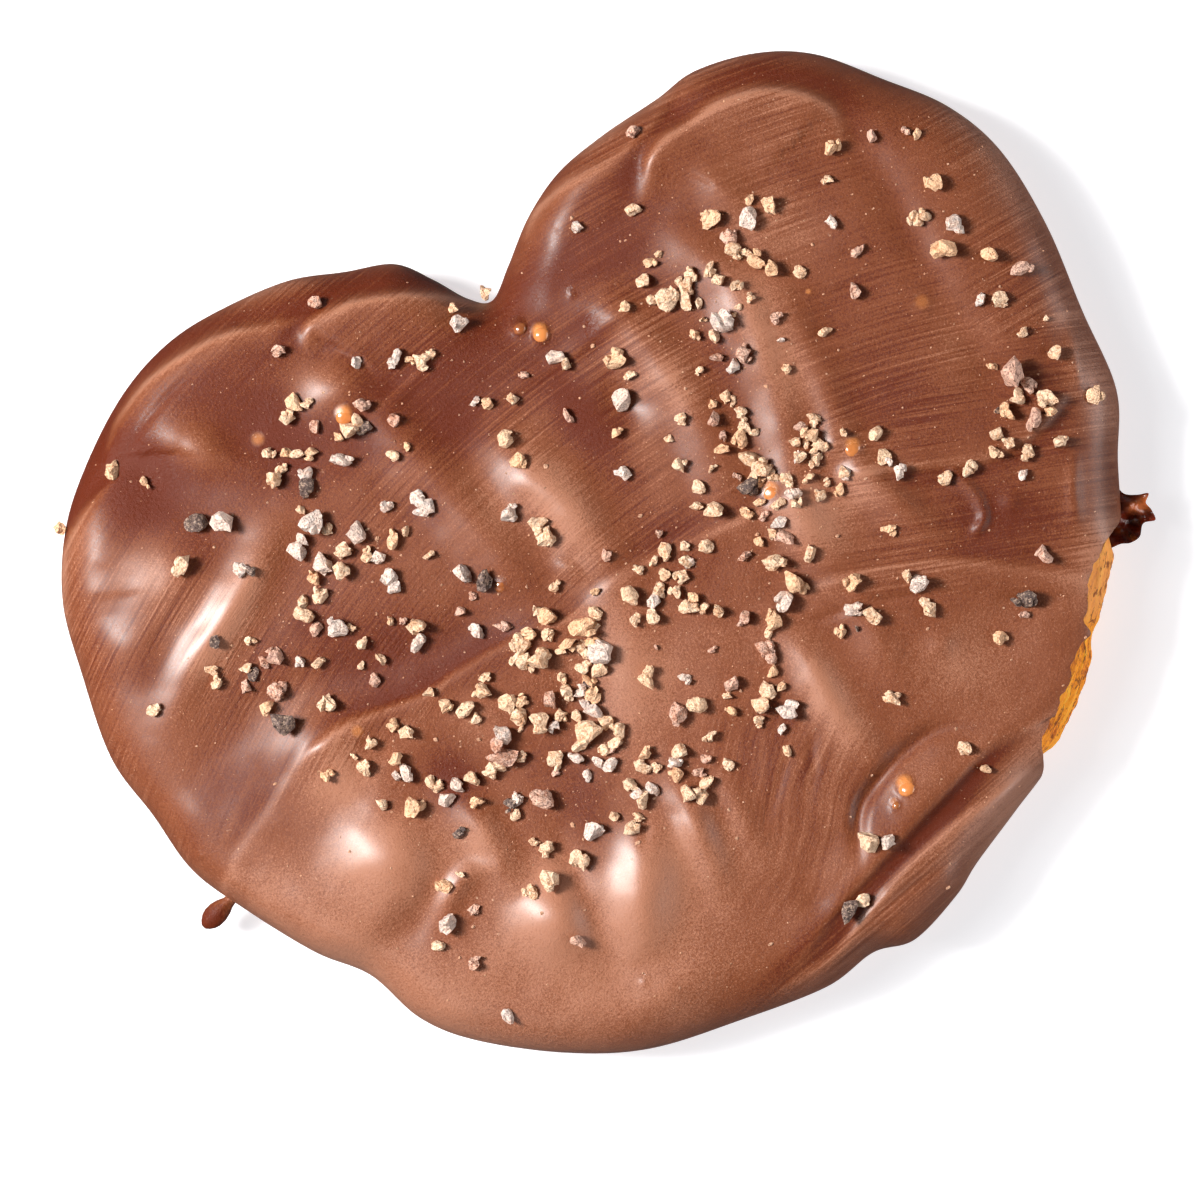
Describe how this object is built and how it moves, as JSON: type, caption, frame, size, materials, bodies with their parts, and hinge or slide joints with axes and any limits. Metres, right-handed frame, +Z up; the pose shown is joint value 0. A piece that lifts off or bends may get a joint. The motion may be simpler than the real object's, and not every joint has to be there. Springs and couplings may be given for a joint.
{
  "type": "palmier pastry",
  "caption": "Heart-shaped palmier pastry under a brushed milk-chocolate coat, with one flank of the baked scroll left bare.",
  "frame": {"origin": "centre of the footprint on the plane the pastry lies on", "axes": "+Z up out of the shown face, +X from the left lobe of the heart to the right lobe, +Y towards the notch"},
  "size_m": [0.1618, 0.1326, 0.0223],
  "materials": {
    "baked_pastry": "orange-brown flaky baked puff pastry",
    "milk_chocolate": "semi-gloss milk chocolate with brush strokes",
    "burnt_caramel": "glassy very dark red-brown burnt sugar",
    "chopped_nut": "matte roasted chopped almond"
  },
  "bodies": {
    "root": {"pastry": "baked_pastry", "chocolate_coat": "milk_chocolate", "caramel_flake": "burnt_caramel"}
  },
  "joints": []
}
